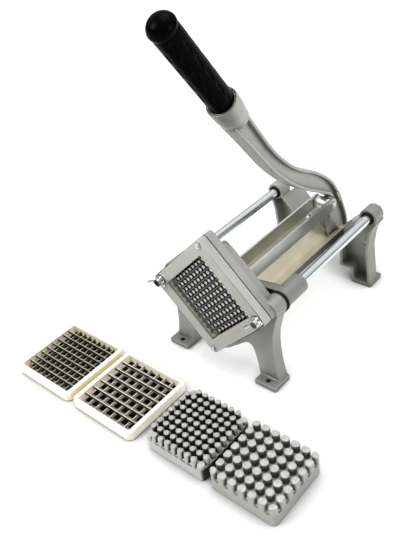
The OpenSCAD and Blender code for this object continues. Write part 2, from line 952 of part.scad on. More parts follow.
module lever_outline() {
    polygon(concat(smooth_path(lever_points(lever_front_shares), 5),
        reversed(smooth_path(lever_points(lever_rear_shares), 5))));
}

// Flange all along the rear edge, and on the front edge down to the spacer
module flange_outline() {
    difference() {
        lever_outline();
        offset(delta = -flange_t)
            lever_outline();
        translate([bolt_y - tube_r, 0])
            square([axle_y - bolt_y + tube_r, bolt_z + tube_r]);
        translate([axle_y - hub_r * 2, 0])
            square([4 * hub_r, axle_z + lug_r]);
    }
}

module rear_flange_outline() {
    intersection() {
        difference() {
            lever_outline();
            offset(delta = -flange_t)
                lever_outline();
        }
        translate([axle_y, axle_z + lug_r])
            square([2 * hub_r, bolt_z]);
    }
}

module along_grip(from) {
    translate([0, socket_y, socket_z])
        rotate([grip_lean, 0, 0])
            translate([0, 0, from])
                children();
}

module lever() {
    color([0.66, 0.66, 0.63])
        difference() {
            union() {
                along_x(-web_t / 2, web_t / 2) {
                    lever_outline();
                    translate([axle_y, axle_z])
                        circle(r = hub_r);
                    hull() {
                        translate([bolt_y, bolt_z])
                            circle(r = tube_r);
                        translate([bolt_y + 2 * tube_r, bolt_z])
                            circle(r = tube_r / 2);
                    }
                }
                along_x(-flange_w / 2, flange_w / 2) {
                    flange_outline();
                    rear_flange_outline();
                }
                rod_x_bar(axle_y, axle_z, hub_tube_r, -hub_half, hub_half);
                along_grip(-socket_l / 4)
                    cylinder(r = socket_r, h = socket_l);
            }
            rod_x_bar(axle_y, axle_z, axle_r + run, -hub_half - over, hub_half + over);
            rod_x_bar(bolt_y, bolt_z, pin_r + run, -bar_x, bar_x);
            along_grip(over)
                cylinder(r = grip_r, h = 2 * socket_l);
        }
}

module grip() {
    mouth = socket_l * 3 / 4;
    color([0.06, 0.06, 0.06])
        along_grip(over)
            rotate_extrude()
                polygon(concat(
                    [[0, 0], [grip_r, 0], [grip_r, mouth + grip_l - 2.5 * bulb_r],
                        [grip_r - over, mouth + grip_l - 2.4 * bulb_r],
                        [bulb_r - over, mouth + grip_l - 2.3 * bulb_r],
                        [bulb_r, mouth + grip_l - 2.1 * bulb_r],
                        [bulb_r, mouth + grip_l - bulb_r * 0.8]],
                    [for (a = [6 : 6 : 90])
                        [bulb_r * cos(a), mouth + grip_l - bulb_r * 0.8 * (1 - sin(a))]]));
}

// Loose set on the floor

module medium_frame() {
    color([0.95, 0.93, 0.85])
        translate([medium_frame_x, frames_y, 0])
            frame_ring(medium_pitch, 8);
}

module medium_blades_top() {
    color([0.62, 0.62, 0.58])
        translate([medium_frame_x, frames_y, 0])
            blades_upper(medium_pitch, 8);
}

module medium_blades_bottom() {
    color([0.62, 0.62, 0.58])
        translate([medium_frame_x, frames_y, 0])
            blades_lower(medium_pitch, 8);
}

module large_frame() {
    color([0.95, 0.93, 0.85])
        translate([large_frame_x, frames_y, 0])
            frame_ring(large_pitch, 6);
}

module large_blades_top() {
    color([0.62, 0.62, 0.58])
        translate([large_frame_x, frames_y, 0])
            blades_upper(large_pitch, 6);
}

module large_blades_bottom() {
    color([0.62, 0.62, 0.58])
        translate([large_frame_x, frames_y, 0])
            blades_lower(large_pitch, 6);
}

module medium_push_block() {
    color([0.55, 0.55, 0.53])
        translate([medium_block_x, blocks_y, 0])
            push_block(medium_pitch, 9, medium_pin_r, true);
}

module large_push_block() {
    color([0.62, 0.62, 0.6])
        translate([large_block_x, blocks_y, 0])
            push_block(large_pitch, 7, large_pin_r, false);
}

front_casting();
front_plate();
plate_screws();
fine_frame();
fine_blades_front();
fine_blades_rear();
guide_rod_left();
guide_rod_right();
rod_rear_nuts();
rear_leg_left();
rear_leg_right();
lever_axle();
axle_nuts();
trough();
trough_screws();
trough_nuts();
carriage();
sleeve_bushes();
fine_push_block();
block_screws();
ear_bolts();
link_bar_left();
link_bar_right();
cross_pin();
link_bolt();
link_nut();
spacer_tube();
lever();
grip();
wing_nut_left();
wing_nut_right();
medium_frame();
medium_blades_top();
medium_blades_bottom();
large_frame();
large_blades_top();
large_blades_bottom();
medium_push_block();
large_push_block();
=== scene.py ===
"""Looks for the french fry cutter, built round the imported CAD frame."""
import math
import bpy
from mathutils import Matrix, Vector


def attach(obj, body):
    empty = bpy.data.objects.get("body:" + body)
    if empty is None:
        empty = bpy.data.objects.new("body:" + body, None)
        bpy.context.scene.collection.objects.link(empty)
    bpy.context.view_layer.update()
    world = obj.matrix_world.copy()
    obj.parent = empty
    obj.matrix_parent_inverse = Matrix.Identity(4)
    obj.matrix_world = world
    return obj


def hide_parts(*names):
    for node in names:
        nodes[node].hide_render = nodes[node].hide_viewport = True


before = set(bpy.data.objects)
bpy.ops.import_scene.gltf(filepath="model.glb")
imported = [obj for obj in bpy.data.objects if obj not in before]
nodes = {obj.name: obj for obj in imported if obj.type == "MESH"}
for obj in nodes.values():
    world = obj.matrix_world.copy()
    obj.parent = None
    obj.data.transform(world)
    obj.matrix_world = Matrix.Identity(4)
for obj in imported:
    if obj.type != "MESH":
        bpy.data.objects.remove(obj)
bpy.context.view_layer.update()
scene = bpy.context.scene

# Camera, fitted to the photograph; metres and pixels
AZIMUTH, ELEVATION, ROLL = (math.radians(a) for a in (45.57, 35.84, -8.86))
CAMERA_PLACE = (0.43396, -0.44393, 0.59033)
FOCAL_PIXELS = 670.75
PHOTO_HEIGHT = 547.0
SENSOR = 36.0


def add_camera():
    back = Vector((math.sin(AZIMUTH) * math.cos(ELEVATION), -math.cos(AZIMUTH) * math.cos(ELEVATION),
                   math.sin(ELEVATION)))
    right = Vector((math.cos(AZIMUTH), math.sin(AZIMUTH), 0.0))
    up = back.cross(right)
    rolled_right = math.cos(ROLL) * right + math.sin(ROLL) * up
    rolled_up = -math.sin(ROLL) * right + math.cos(ROLL) * up
    data = bpy.data.cameras.new("camera")
    camera = bpy.data.objects.new("camera", data)
    scene.collection.objects.link(camera)
    turn = Matrix((rolled_right, rolled_up, back)).transposed().to_4x4()
    turn.translation = Vector(CAMERA_PLACE)
    camera.matrix_world = turn
    data.sensor_width = SENSOR
    data.lens = FOCAL_PIXELS * SENSOR / PHOTO_HEIGHT
    data.clip_start = 0.02
    data.clip_end = 20.0
    scene.camera = camera


add_camera()


# Material building

class Mat:
    """A Principled material with small helpers for its node graph."""

    def __init__(self, name, **sockets):
        self.m = bpy.data.materials.new(name)
        self.m.use_nodes = True
        self.t = self.m.node_tree
        self.b = next(n for n in self.t.nodes if n.type == "BSDF_PRINCIPLED")
        for k, v in sockets.items():
            self.b.inputs[k.replace("_", " ")].default_value = v
        self.co = self.node("ShaderNodeTexCoord").outputs["Object"]

    def node(self, kind, **props):
        n = self.t.nodes.new(kind)
        for k, v in props.items():
            setattr(n, k, v)
        return n

    def feed(self, socket, value):
        """Links a socket, or sets a number or a colour."""
        if isinstance(value, bpy.types.NodeSocket):
            self.t.links.new(value, socket)
        elif isinstance(value, (tuple, list)) and len(value) == 3 and socket.type == "RGBA":
            socket.default_value = (*value, 1.0)
        else:
            socket.default_value = value

    def stretch(self, scale, turn=(0, 0, 0)):
        n = self.node("ShaderNodeMapping")
        n.inputs["Scale"].default_value = scale
        n.inputs["Rotation"].default_value = turn
        self.feed(n.inputs["Vector"], self.co)
        return n.outputs["Vector"]

    def noise(self, scale, detail=4.0, rough=0.55, vector=None):
        n = self.node("ShaderNodeTexNoise")
        values = {"Scale": scale, "Detail": detail, "Roughness": rough, "Vector": vector or self.co}
        for k, v in values.items():
            self.feed(n.inputs[k], v)
        return n.outputs["Fac"]

    def ramp(self, fac, stops):
        n = self.node("ShaderNodeValToRGB")
        e = n.color_ramp.elements
        while len(e) < len(stops):
            e.new(0.5)
        for i, (p, c) in enumerate(stops):
            e[i].position = p
            e[i].color = (*c, 1.0) if isinstance(c, (tuple, list)) else (c, c, c, 1.0)
        self.feed(n.inputs["Fac"], fac)
        return n.outputs["Color"]

    def mix(self, a, b, fac, blend="MIX"):
        n = self.node("ShaderNodeMix", data_type="RGBA", blend_type=blend)
        self.feed(n.inputs[0], fac)
        self.feed(n.inputs[6], a)
        self.feed(n.inputs[7], b)
        return n.outputs[2]

    def times(self, a, b):
        return self.mix(a, b, 1.0, "MULTIPLY")

    def span(self, fac, lo, hi, from_lo=0.0, from_hi=1.0):
        n = self.node("ShaderNodeMapRange")
        values = {"Value": fac, "From Min": from_lo, "From Max": from_hi, "To Min": lo, "To Max": hi}
        for k, v in values.items():
            self.feed(n.inputs[k], v)
        return n.outputs["Result"]

    def math(self, op, a, b=0.0):
        n = self.node("ShaderNodeMath", operation=op)
        self.feed(n.inputs[0], a)
        self.feed(n.inputs[1], b)
        return n.outputs[0]

    def axis(self, vector, index):
        n = self.node("ShaderNodeSeparateXYZ")
        self.feed(n.inputs[0], vector)
        return n.outputs[index]

    def place(self, index):
        """The surface point's X, Y or Z in the shared frame, in metres."""
        return self.axis(self.co, index)

    def facing(self, index):
        """The surface normal's X, Y or Z."""
        return self.axis(self.node("ShaderNodeNewGeometry").outputs["Normal"], index)

    def colour(self, socket):
        self.feed(self.b.inputs["Base Color"], socket)

    def roughness(self, socket):
        self.feed(self.b.inputs["Roughness"], socket)

    def bump(self, height, strength, distance, normal=None):
        n = self.node("ShaderNodeBump")
        for k, v in (("Height", height), ("Strength", strength), ("Distance", distance)):
            self.feed(n.inputs[k], v)
        if normal is not None:
            self.feed(n.inputs["Normal"], normal)
        self.feed(self.b.inputs["Normal"], n.outputs["Normal"])
        return n.outputs["Normal"]

    def open_share(self, distance, samples=8):
        """How open the surface is within a distance: 0 in a deep corner, 1 on a free face."""
        n = self.node("ShaderNodeAmbientOcclusion", samples=samples)
        n.inputs["Distance"].default_value = distance
        return n.outputs["AO"]

    def outer_edge_mask(self, radius):
        """1 on an outward edge, 0 on flat faces and in corners; the mask for painted edge highlights and
        painted dark rims.
        """
        n = self.node("ShaderNodeBevel", samples=6)
        n.inputs["Radius"].default_value = radius
        turn = self.node("ShaderNodeVectorMath", operation="DOT_PRODUCT")
        self.feed(turn.inputs[0], n.outputs["Normal"])
        self.feed(turn.inputs[1], self.node("ShaderNodeNewGeometry").outputs["Normal"])
        bent = self.ramp(turn.outputs["Value"], [(0.88, 1.0), (0.992, 0.0)])
        return self.times(bent, self.ramp(self.open_share(radius * 2), [(0.7, 0.0), (0.95, 1.0)]))

    def mottle(self, colour, scale, low=0.93, high=1.05):
        return self.ramp(self.noise(scale, 3), [(0.3, [c * low for c in colour]),
                                                (0.7, [min(1, c * high) for c in colour])])


def cast_enamel(name, colour, dark=0.6, reach=0.012, low=1.0, top=0.09, sides=1.0, front=1.0):
    """Hammered silver-grey enamel on cast aluminium, with painted shade in corners, towards the floor, on
    the outer sides and on faces turned to the front, and a painted highlight on outward edges.
    """
    k = Mat(name, Metallic=0.15)
    k.b.inputs["Specular IOR Level"].default_value = 0.5
    k.b.inputs["Coat Weight"].default_value = 0.15
    k.b.inputs["Coat Roughness"].default_value = 0.22
    fine = k.noise(900, 3)
    base = k.times(k.mottle(colour, 38), k.ramp(fine, [(0.3, 0.9), (0.65, 1.0)]))
    # Painted shade: darker where the surface is closed in, down to the dark share.
    base = k.times(base, k.span(k.open_share(reach), dark, 1.0))
    # Painted shade: darker from the top height down to the floor, by the low share.
    base = k.times(base, k.span(k.place(2), low, 1.0, 0.0, top))
    # Painted shade: darker on the outer sides, from 45 to 65 mm out from the middle.
    base = k.times(base, k.span(k.math("ABSOLUTE", k.place(0)), 1.0, sides, 0.045, 0.065))
    # Painted shade: faces turned to the front are darker, by the front share.
    base = k.times(base, k.span(k.facing(1), front, 1.0, -0.5, -0.1))
    # Painted highlight: outward edges take a lighter tone.
    edge_highlight = [min(0.95, c * 1.75) for c in colour]
    k.colour(k.mix(base, edge_highlight, k.math("MULTIPLY", k.outer_edge_mask(0.0013), 0.85)))
    k.roughness(k.span(k.noise(240, 2), 0.32, 0.5))
    k.bump(fine, 0.12, 0.0002, k.bump(k.noise(420, 2, 0.5), 0.22, 0.0006))
    return k.m


def brushed(name, colour, along, rough=(0.22, 0.38), strength=0.15, corner_shade=0.6, reach=0.004, crown=1.0):
    """Metal with grinding or brushing lines along one axis, with painted shade in its corners and, where
    crown is above 1, a painted highlight on faces turned up.
    """
    k = Mat(name, Metallic=1.0)
    scale = [700.0, 700.0, 700.0]
    scale["xyz".index(along)] = 9.0
    lines = k.noise(1.0, 5, 0.6, k.stretch(scale))
    base = k.times(k.mottle(colour, 22, 0.88, 1.08), k.ramp(lines, [(0.25, 0.84), (0.7, 1.0)]))
    # Painted highlight: faces turned up are lighter by the crown factor.
    base = k.times(base, k.span(k.facing(2), 1.0, crown, 0.6, 0.9))
    # Painted shade: darker where the surface is closed in.
    k.colour(k.times(base, k.span(k.open_share(reach), corner_shade, 1.0)))
    k.roughness(k.span(lines, *rough))
    k.bump(lines, strength, 0.0002)
    return k.m


def blade_metal(name, edge, face, across, edge_axis, gloss=0.5):
    """Blade steel painted by facing: a painted highlight on the cutting edges, faces turned along X
    painted lighter as lit, the other faces painted dark as shade.
    """
    k = Mat(name, Metallic=0.1)
    k.b.inputs["Specular IOR Level"].default_value = gloss
    lines = k.noise(1.0, 4, 0.6, k.stretch((40.0, 700.0, 700.0)))
    wear = k.ramp(lines, [(0.25, 0.8), (0.7, 1.05)])
    crossing = k.ramp(k.math("ABSOLUTE", k.facing(0)), [(0.5, 0.0), (0.8, 1.0)])
    edge_lit = k.ramp(k.math("ABSOLUTE", k.facing(edge_axis)), [(0.6, 0.0), (0.85, 1.0)])
    # Painted light and shade: each face coloured by the way it turns.
    k.colour(k.times(k.mix(k.mix(face, across, crossing), edge, edge_lit), wear))
    k.roughness(k.span(lines, 0.3, 0.45))
    k.bump(lines, 0.08, 0.0002)
    return k.m


def plated(name, colour, thread_front, thread_back):
    """Bright plating with faint wipe marks; both threaded ends painted dark as shade, with their threads
    in the bump.
    """
    k = Mat(name, Metallic=1.0)
    marks = k.noise(60, 4, 0.6, k.stretch((1.0, 0.25, 1.0)))
    bright = k.ramp(marks, [(0.3, [c * 0.93 for c in colour]), (0.7, colour)])
    y = k.place(1)
    ends = k.math("MAXIMUM", k.math("LESS_THAN", y, thread_front), k.math("GREATER_THAN", y, thread_back))
    pitch = 0.00125
    ridge = k.math("PINGPONG", y, pitch / 2)
    # Painted shade: the threaded ends are coloured dark.
    k.colour(k.mix(bright, (0.16, 0.16, 0.15), ends))
    k.roughness(k.span(marks, 0.08, 0.16))
    k.bump(k.math("MULTIPLY", ends, k.math("DIVIDE", ridge, pitch / 2)), 0.8, 0.0004)
    return k.m


def ivory_plastic(name, colour, shade, reach, lit=(0.25, 0.8)):
    """Ivory moulding, faintly mottled, with painted warm shade in its corners."""
    k = Mat(name)
    k.b.inputs["Specular IOR Level"].default_value = 0.4
    k.b.inputs["Subsurface Weight"].default_value = 0.1
    k.b.inputs["Subsurface Radius"].default_value = (0.006, 0.004, 0.002)
    k.b.inputs["Subsurface Scale"].default_value = 0.3
    tone = k.mottle(colour, 45, 0.975, 1.0)
    # Painted shade: the shade colour where the surface is closed in.
    k.colour(k.mix(shade, tone, k.ramp(k.open_share(reach), [(lit[0], 0.0), (lit[1], 1.0)])))
    k.roughness(k.span(k.noise(180, 2), 0.3, 0.42))
    k.bump(k.noise(650, 2), 0.06, 0.0003)
    return k.m


def moulded_block(name, wall, top, side, crown, root, pin_reach, right, gloss, rim):
    """Grey block: pale walls, mottled pin tops inside painted dark rims, glossy pin sides painted dark as
    shade with painted reflection streaks, and walls turned right painted darker as shade.
    """
    k = Mat(name, Metallic=0.1)
    k.b.inputs["Specular IOR Level"].default_value = gloss
    body = k.times(k.mottle(wall, 60, 0.95, 1.03), k.ramp(k.noise(1100, 2), [(0.3, 0.92), (0.6, 1.0)]))
    # Painted shade: pin sides above the root and among the pins take the dark side colour, with painted
    # reflection streaks.
    steep = k.ramp(k.facing(2), [(0.25, 1.0), (0.8, 0.0)])
    among = k.ramp(k.open_share(pin_reach), [(0.5, 1.0), (0.78, 0.0)])
    above = k.math("GREATER_THAN", k.place(2), root)
    reflection_streak = k.ramp(k.noise(1.0, 3, 0.5, k.stretch((420.0, 420.0, 20.0))), [(0.35, 0.55), (0.7, 1.4)])
    shaft = k.times(side, reflection_streak)
    base = k.mix(body, shaft, k.math("MULTIPLY", k.math("MULTIPLY", steep, among), above))
    # Painted shade: a dark rim round each pin top, leaving a smaller lighter centre.
    above_crown = k.math("GREATER_THAN", k.place(2), crown)
    crown_part = k.math("MULTIPLY", above_crown, k.ramp(k.facing(2), [(0.6, 0.0), (0.9, 1.0)]))
    centre = k.math("SUBTRACT", 1.0, k.outer_edge_mask(rim))
    base = k.mix(base, k.mix(side, k.mottle(top, 240, 0.8, 1.15), centre), crown_part)
    # Painted shade: walls below the pin roots that turn to the right are darker, by the right share.
    to_right = k.ramp(k.facing(0), [(0.4, 0.0), (0.8, 1.0)])
    right_wall = k.math("MULTIPLY", k.math("LESS_THAN", k.place(2), root), to_right)
    base = k.times(base, k.span(right_wall, 1.0, right))
    k.colour(base)
    k.roughness(k.span(k.noise(300, 2), 0.24, 0.42))
    k.bump(k.noise(520, 3), 0.12, 0.0004)
    return k.m


def window_block(name, tip_y, body_y):
    """The block seen through the grid: pin tips painted bright as lit on their front faces, shafts
    painted near black as shade, the block behind them grey.
    """
    k = Mat(name)
    k.b.inputs["Specular IOR Level"].default_value = 0.15
    # Painted highlight: the front-turned faces of the pin tips are near white.
    tip = k.math("LESS_THAN", k.place(1), tip_y)
    front = k.ramp(k.math("MULTIPLY", k.facing(1), -1.0), [(0.7, 0.0), (0.97, 1.0)])
    bright = k.times((1.0, 1.0, 0.97), k.ramp(k.noise(500, 2), [(0.3, 0.9), (0.7, 1.0)]))
    # Painted shade: near black in front of body_y, grey behind it.
    depth = k.span(k.place(1), 0.0, 1.0, body_y, body_y + 0.01)
    rest = k.ramp(depth, [(0.0, 0.012), (1.0, (0.36, 0.36, 0.33))])
    k.colour(k.mix(rest, bright, k.math("MULTIPLY", tip, front)))
    k.roughness(k.span(k.noise(300, 2), 0.3, 0.45))
    k.bump(k.noise(520, 3), 0.1, 0.0003)
    return k.m


def black_gloss(name):
    """Black dipped grip, glossy with faint orange peel."""
    k = Mat(name)
    k.b.inputs["Specular IOR Level"].default_value = 0.022
    k.colour(k.ramp(k.noise(90, 3), [(0.3, (0.0002, 0.0002, 0.0003)), (0.7, (0.0008, 0.0008, 0.0009))]))
    k.roughness(k.span(k.noise(260, 3), 0.2, 0.32))
    k.bump(k.noise(1300, 2), 0.06, 0.0002)
    return k.m


def seam_shadow(name):
    """Painted shadow for shaded joints and gaps: near black and matt."""
    k = Mat(name)
    k.b.inputs["Specular IOR Level"].default_value = 0.0
    k.colour(k.ramp(k.noise(300, 3), [(0.3, 0.012), (0.7, 0.03)]))
    k.roughness(k.span(k.noise(200, 2), 0.8, 0.95))
    return k.m


# One enamel in copies painted lighter or darker for the light each part gets: the rear legs and the
# carriage darker as shade, the lever and the plate lighter as lit.
CAST = cast_enamel("cast_enamel", (0.40, 0.40, 0.365), dark=0.42, low=0.78, top=0.08, sides=0.76)
CAST_REAR = cast_enamel("cast_enamel_rear", (0.27, 0.27, 0.24), dark=0.05, reach=0.018)
CAST_REAR_LEFT = cast_enamel("cast_enamel_rear_left", (0.37, 0.37, 0.33), dark=0.3, reach=0.02)
CAST_SLIDE = cast_enamel("cast_enamel_slide", (0.235, 0.235, 0.21), dark=0.2, reach=0.008, front=0.03)
CAST_LEVER = cast_enamel("cast_enamel_lever", (0.435, 0.435, 0.40), dark=0.12, reach=0.005, front=0.46)
PLATE = cast_enamel("plate_enamel", (0.50, 0.50, 0.455), dark=0.42, reach=0.008)
CHROME = plated("chrome_plate", (0.74, 0.78, 0.80), thread_front=-0.004, thread_back=0.243)
STEEL = brushed("zinc_steel", (0.80, 0.80, 0.78), "x", (0.14, 0.28), strength=0.08, corner_shade=0.4)
TUBE = brushed("tube_steel", (0.92, 0.92, 0.88), "x", (0.34, 0.46), strength=0.04)
BAR = brushed("bar_steel", (0.50, 0.52, 0.50), "y", (0.26, 0.4), strength=0.1, crown=1.6)
STAINLESS = brushed("stainless_sheet", (0.80, 0.75, 0.61), "y", (0.26, 0.4), strength=0.1, crown=1.2)
# Blade steel in copies painted to the light each grid gets: painted highlights on edges, lit crossing
# faces, painted shade on the rest.
BLADE = blade_metal("blade_steel", edge=(0.88, 0.86, 0.78), face=(0.018, 0.014, 0.007),
                    across=(0.40, 0.375, 0.30), edge_axis=2, gloss=0.3)
BLADE_MEDIUM = blade_metal("blade_steel_medium", edge=(0.60, 0.56, 0.45), face=(0.018, 0.014, 0.006),
                           across=(0.085, 0.075, 0.052), edge_axis=2, gloss=0.3)
BLADE_WINDOW = blade_metal("window_blade_steel", edge=(0.24, 0.24, 0.23), face=(0.006, 0.006, 0.006),
                           across=(0.006, 0.006, 0.006), edge_axis=1, gloss=0.08)
BRONZE = brushed("bronze_bush", (0.6, 0.42, 0.2), "y", (0.3, 0.45))
IVORY = ivory_plastic("ivory_moulding", (1.0, 0.98, 0.88), shade=(0.86, 0.74, 0.48), reach=0.014)
# The installed frame: the ivory painted darker as shade behind the plate, with near-black painted shade
# in its corners.
IVORY_WINDOW = ivory_plastic("window_moulding", (0.80, 0.76, 0.63), shade=(0.05, 0.04, 0.03),
                             reach=0.004, lit=(0.45, 0.9))
PIN_CROWN, PIN_ROOT = 0.0262, 0.017
# The two blocks: copies of one grey moulding toned apart for the light each gets, with pin sides and
# right walls painted dark as shade.
BLOCK = moulded_block("block_grey", wall=(0.42, 0.42, 0.385), top=(0.50, 0.50, 0.47),
                      side=(0.06, 0.06, 0.052), crown=PIN_CROWN, root=PIN_ROOT, pin_reach=0.010,
                      right=0.8, gloss=0.4, rim=0.0011)
BLOCK_DARK = moulded_block("block_grey_dark", wall=(0.56, 0.56, 0.535), top=(0.48, 0.48, 0.45),
                           side=(0.008, 0.008, 0.007), crown=PIN_CROWN, root=PIN_ROOT,
                           pin_reach=0.012, right=0.04, gloss=0.15, rim=0.0012)
BLOCK_WINDOW = window_block("block_in_window", tip_y=-0.0054, body_y=0.004)
# The lips' steel: the trough's stainless painted near black as shade, with a strong painted highlight on
# faces turned up.
LIP = brushed("trough_lip_steel", (0.10, 0.10, 0.088), "y", (0.3, 0.45), strength=0.1, crown=6.0)
GRIP = black_gloss("grip_gloss")
SEAM = seam_shadow("seam_shadow")

looks = {
    CAST: ["front_casting"],
    CAST_REAR: ["rear_leg_right"],
    CAST_REAR_LEFT: ["rear_leg_left"],
    CAST_SLIDE: ["carriage"],
    CAST_LEVER: ["lever"],
    PLATE: ["front_plate"],
    CHROME: ["guide_rod_left", "guide_rod_right"],
    STEEL: ["plate_screws", "rod_rear_nuts", "lever_axle", "axle_nuts", "trough_screws", "trough_nuts",
            "block_screws", "ear_bolts", "cross_pin", "link_bolt", "link_nut",
            "wing_nut_left", "wing_nut_right"],
    TUBE: ["spacer_tube"],
    BAR: ["link_bar_left", "link_bar_right"],
    STAINLESS: ["trough"],
    BLADE: ["large_blades_top", "large_blades_bottom"],
    BLADE_MEDIUM: ["medium_blades_top", "medium_blades_bottom"],
    BLADE_WINDOW: ["fine_blades_front", "fine_blades_rear"],
    BRONZE: ["sleeve_bushes"],
    IVORY: ["medium_frame", "large_frame"],
    IVORY_WINDOW: ["fine_frame"],
    BLOCK: ["large_push_block"],
    BLOCK_DARK: ["medium_push_block"],
    BLOCK_WINDOW: ["fine_push_block"],
    GRIP: ["grip"],
}
for mat, names in looks.items():
    for n in names:
        data = nodes[n].data
        data.materials.clear()
        data.materials.append(mat)

# Rounded edges on the CAD nodes, as modifiers
EDGES = {"front_casting": 0.0009, "front_plate": 0.0008, "rear_leg_left": 0.0009,
         "rear_leg_right": 0.0009, "lever": 0.0009, "carriage": 0.0008, "link_bar_left": 0.0004,
         "link_bar_right": 0.0004, "medium_frame": 0.0012, "large_frame": 0.0012,
         "fine_frame": 0.0005, "trough": 0.0003, "large_push_block": 0.0007,
         "medium_push_block": 0.0006, "fine_push_block": 0.0006}
for n, width in EDGES.items():
    o = nodes[n]
    weld = o.modifiers.new("weld", "WELD")
    weld.merge_threshold = 0.00001
    bevel = o.modifiers.new("edge", "BEVEL")
    bevel.width = width
    bevel.segments = 2
    bevel.limit_method = "ANGLE"
    bevel.angle_limit = math.radians(38)
    bevel.use_clamp_overlap = False
    bevel.loop_slide = False
    bevel.miter_outer = "MITER_ARC"
    wn = o.modifiers.new("normals", "WEIGHTED_NORMAL")
    wn.keep_sharp = False
    wn.weight = 60


# Pieces that add detail the solids leave plain

def add_mesh(name, verts, faces, mat, smooth=True):
    mesh = bpy.data.meshes.new(name)
    mesh.from_pydata(verts, [], faces)
    mesh.materials.append(mat)
    o = bpy.data.objects.new(name, mesh)
    scene.collection.objects.link(o)
    for p in mesh.polygons:
        p.use_smooth = smooth
    return o


def ring_angles(around):
    return [2 * math.pi * i / around for i in range(around)]


def ring_faces(rings, around):
    """Quads between neighbouring rings of points."""
    faces = []
    for j in range(rings - 1):
        for i in range(around):
            k = (i + 1) % around
            faces.append((j * around + i, j * around + k, (j + 1) * around + k, (j + 1) * around + i))
    return faces


# Grip: a revolved moulding with staggered rows of finger slots
SOCKET_FOOT = Vector((0.0, 0.0645, 0.306))
GRIP_LEAN = math.radians(35.5)
GRIP_R, BULB_R = 0.0150, 0.0157
GRIP_FROM, GRIP_LENGTH = 0.0005, 0.1555
NECK = GRIP_LENGTH - 0.0155
CAP_RISE = BULB_R * 0.85
GRIP_STEP, CAP_STEP_DEGREES = 0.0008, 6
GRIP_AROUND = 96
GRIP_AXIS = Vector((0.0, -math.sin(GRIP_LEAN), math.cos(GRIP_LEAN)))
GRIP_SIDE = Vector((1.0, 0.0, 0.0))
GRIP_OTHER = GRIP_AXIS.cross(GRIP_SIDE)

# Finger slots: rows round the grip, and each slot's pitch, length, width and depth along it
SLOT_ROWS, SLOT_PITCH, SLOT_LENGTH, SLOT_WIDTH, SLOT_DEPTH = 8, 0.0212, 0.0145, 0.0032, 0.0008
FIRST_SLOT, SLOT_MARGIN = 0.033, 0.006


def grip_radius(s, a):
    """Radius at a distance along the grip and an angle round it."""
    if s > GRIP_LENGTH - CAP_RISE:
        lift = (s - (GRIP_LENGTH - CAP_RISE)) / CAP_RISE
        return BULB_R * math.sqrt(max(0.0, 1 - min(1.0, lift) ** 2))
    shoulder = 0.5 + 0.5 * math.tanh((s - NECK - 0.0012) / 0.0011)
    neck_dip = 0.0003 * math.exp(-((s - NECK + 0.0012) / 0.0009) ** 2)
    r = GRIP_R - 0.0001 + (BULB_R - GRIP_R) * shoulder - neck_dip
    row = round(a / (2 * math.pi) * SLOT_ROWS)
    off = (a - row * 2 * math.pi / SLOT_ROWS) * GRIP_R
    start = FIRST_SLOT + (SLOT_PITCH / 2 if row % 2 else 0.0)
    k = round((s - start) / SLOT_PITCH)
    along = (s - start - k * SLOT_PITCH) / (SLOT_LENGTH / 2)
    if 0 <= k and start + k * SLOT_PITCH < NECK - SLOT_MARGIN:
        deep = max(0.0, 1 - along ** 4) * max(0.0, 1 - (off / (SLOT_WIDTH / 2)) ** 2)
        r -= SLOT_DEPTH * min(1.0, deep * 1.6)
    return r


def grip_point(s, r, a):
    """A point at a distance along the grip, a radius and an angle round it."""
    return SOCKET_FOOT + GRIP_AXIS * s + GRIP_SIDE * (r * math.cos(a)) + GRIP_OTHER * (r * math.sin(a))


def build_grip():
    cap_start = GRIP_LENGTH - CAP_RISE
    steps = int((cap_start - GRIP_FROM) / GRIP_STEP)
    stations = [GRIP_FROM + i * GRIP_STEP for i in range(steps)]
    stations += [cap_start + CAP_RISE * math.sin(math.radians(a)) for a in range(0, 90, CAP_STEP_DEGREES)]
    verts = [grip_point(s, grip_radius(s, a), a) for s in stations for a in ring_angles(GRIP_AROUND)]
    faces = ring_faces(len(stations), GRIP_AROUND)
    verts.append(SOCKET_FOOT + GRIP_AXIS * GRIP_LENGTH)
    verts.append(SOCKET_FOOT + GRIP_AXIS * GRIP_FROM)
    last = (len(stations) - 1) * GRIP_AROUND
    for i in range(GRIP_AROUND):
        k = (i + 1) % GRIP_AROUND
        faces.append((last + i, last + k, len(verts) - 2))
        faces.append((k, i, len(verts) - 1))
    o = add_mesh("grip_moulding", [tuple(v) for v in verts], faces, GRIP)
    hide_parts("grip")
    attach(o, "lever")


build_grip()

# Seam between plate and casting: a shadow line along both outlines
PLATE_HALF, PLATE_ROUND, SEAM_Y = 0.060, 0.005, -0.003
GRID_Z = 0.111
CORNER_STEPS = 8


def build_seam():
    proud, half_width = 0.00025, 0.00045
    outline = []
    for q in range(4):
        centre = math.radians(45 + 90 * q)
        cx = math.copysign(PLATE_HALF - PLATE_ROUND, math.cos(centre))
        cz = math.copysign(PLATE_HALF - PLATE_ROUND, math.sin(centre))
        for i in range(CORNER_STEPS + 1):
            a = centre + math.radians(-45 + i * 90 / CORNER_STEPS)
            u = cx + (PLATE_ROUND + proud) * math.cos(a)
            v = cz + (PLATE_ROUND + proud) * math.sin(a)
            outline.append(((u - v) * math.sqrt(0.5), (u + v) * math.sqrt(0.5) + GRID_Z))
    n = len(outline)
    verts = [(x, SEAM_Y + e, z) for e in (-half_width, half_width) for x, z in outline]
    faces = [(i, (i + 1) % n, n + (i + 1) % n, n + i) for i in range(n)]
    o = add_mesh("plate_seam", verts, faces, SEAM)
    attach(o, "machine")


build_seam()

# Places that several pieces share
ROD_X, ROD_R = 0.073, 0.0066
LINK_BOLT = (0.0, 0.237, 0.1085)
FLANGE_HALF = 0.010


